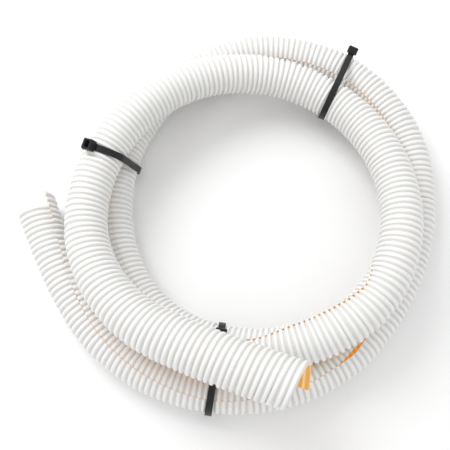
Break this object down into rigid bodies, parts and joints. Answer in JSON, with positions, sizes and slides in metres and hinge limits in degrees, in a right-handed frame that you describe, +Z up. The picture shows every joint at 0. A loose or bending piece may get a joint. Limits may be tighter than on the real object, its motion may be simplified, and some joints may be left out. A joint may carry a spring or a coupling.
{
  "type": "coiled corrugated hose",
  "caption": "Corrugated hose, slit lengthwise, coiled flat in two and a quarter turns and held by black cable ties.",
  "frame": {"origin": "on the floor, under the middle of the coil's box", "axes": "+Z up, the coil lies flat; +X towards the side away from the hose's back end, +Y across the coil away from the front mouth"},
  "size_m": [0.497, 0.4756, 0.1354],
  "materials": {
    "hose": "thin translucent white polyethylene, ribbed, faintly glossy on the rib crests",
    "cable_tie": "black moulded nylon, semi-gloss, with fine moulding marks"
  },
  "bodies": {
    "coil": {"hose_turn_1_upper_left": "hose", "hose_turn_1_upper_right": "hose", "hose_turn_1_lower_right": "hose", "hose_turn_2_lower_left": "hose", "hose_turn_2_upper_left": "hose", "hose_turn_2_upper_right": "hose", "hose_turn_2_lower_right": "hose", "hose_turn_3_bottom": "hose", "tie_upper_right_strap": "cable_tie", "tie_upper_right_head": "cable_tie", "tie_left_strap": "cable_tie", "tie_left_head": "cable_tie", "tie_bottom_strap": "cable_tie", "tie_bottom_head": "cable_tie"},
    "front_end": {"hose_front_mouth": "hose", "hose_front_tail": "hose"},
    "back_end": {"hose_back_tail": "hose", "hose_back_mouth": "hose"},
    "tie_upper_right_pawl": {"tie_upper_right_pawl": "cable_tie"},
    "tie_left_pawl": {"tie_left_pawl": "cable_tie"},
    "tie_bottom_pawl": {"tie_bottom_pawl": "cable_tie"}
  },
  "joints": [
    {"name": "front_end_lift", "type": "hinge", "parent": "coil", "child": "front_end", "pos_m": [-0.15683, -0.00505, 0.098], "axis": [-0.9924, 0.1229, 0], "range_deg": [0, 20], "stiffness_Nm_per_rad": 1.5},
    {"name": "back_end_swing", "type": "hinge", "parent": "coil", "child": "back_end", "pos_m": [-0.15466, -0.17125, 0.0264], "axis": [0, 0, 1], "range_deg": [0, 20], "stiffness_Nm_per_rad": 1.5},
    {"name": "tie_upper_right_pawl_flex", "type": "hinge", "parent": "coil", "child": "tie_upper_right_pawl", "pos_m": [0.1569, 0.20462, 0.04281], "axis": [0.9043, -0.4217, -0.0663], "range_deg": [0, 12], "stiffness_Nm_per_rad": 0.02},
    {"name": "tie_left_pawl_flex", "type": "hinge", "parent": "coil", "child": "tie_left_pawl", "pos_m": [-0.15117, 0.04779, 0.10041], "axis": [0.3274, 0.9194, 0.2181], "range_deg": [0, 12], "stiffness_Nm_per_rad": 0.02},
    {"name": "tie_bottom_pawl_flex", "type": "hinge", "parent": "coil", "child": "tie_bottom_pawl", "pos_m": [-0.00827, -0.15492, 0.07045], "axis": [-0.9873, 0.1564, 0.0262], "range_deg": [0, 12], "stiffness_Nm_per_rad": 0.02}
  ]
}
